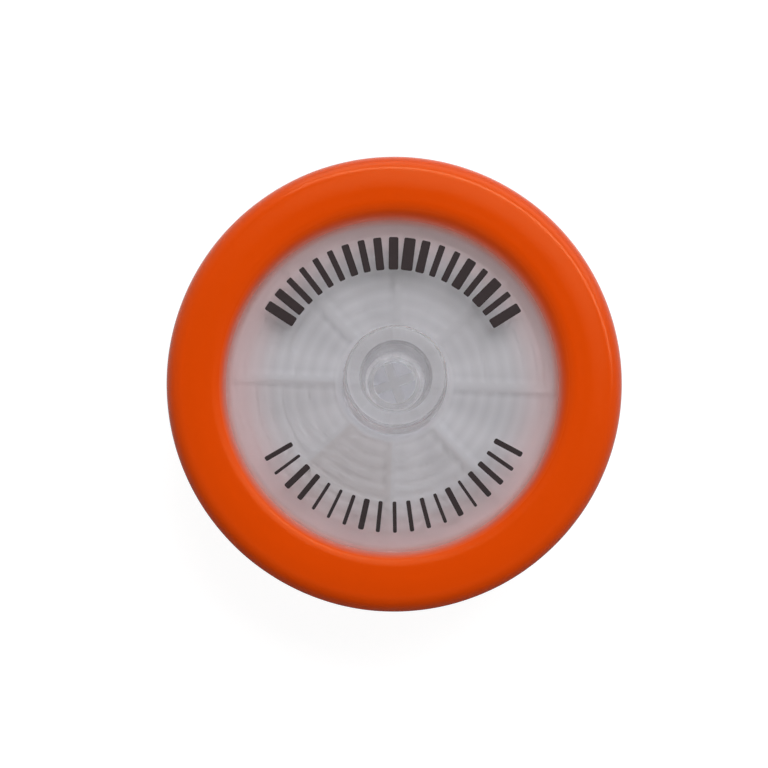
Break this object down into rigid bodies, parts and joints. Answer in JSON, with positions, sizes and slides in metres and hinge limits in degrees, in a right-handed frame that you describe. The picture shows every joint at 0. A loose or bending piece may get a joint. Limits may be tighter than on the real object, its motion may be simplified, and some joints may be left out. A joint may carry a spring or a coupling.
{
  "type": "syringe filter",
  "caption": "Disposable membrane filter disc with a female Luer inlet hub, a male Luer outlet nozzle and an overmoulded grip ring.",
  "frame": {"origin": "centre of the outlet nozzle's tip face, which is the lowest point", "axes": "+Z along the flow axis, from the outlet nozzle's tip towards the inlet hub; X and Y lie in the plane of the disc"},
  "size_m": [0.03, 0.03, 0.0232],
  "materials": {
    "ring_plastic": "satin moulded orange polypropylene",
    "shell_plastic": "milky, see-through natural polypropylene",
    "membrane": "matt white porous film"
  },
  "bodies": {
    "root": {"overmould_ring": "ring_plastic", "inlet_shell": "shell_plastic", "membrane": "membrane", "outlet_shell": "shell_plastic"}
  },
  "joints": []
}
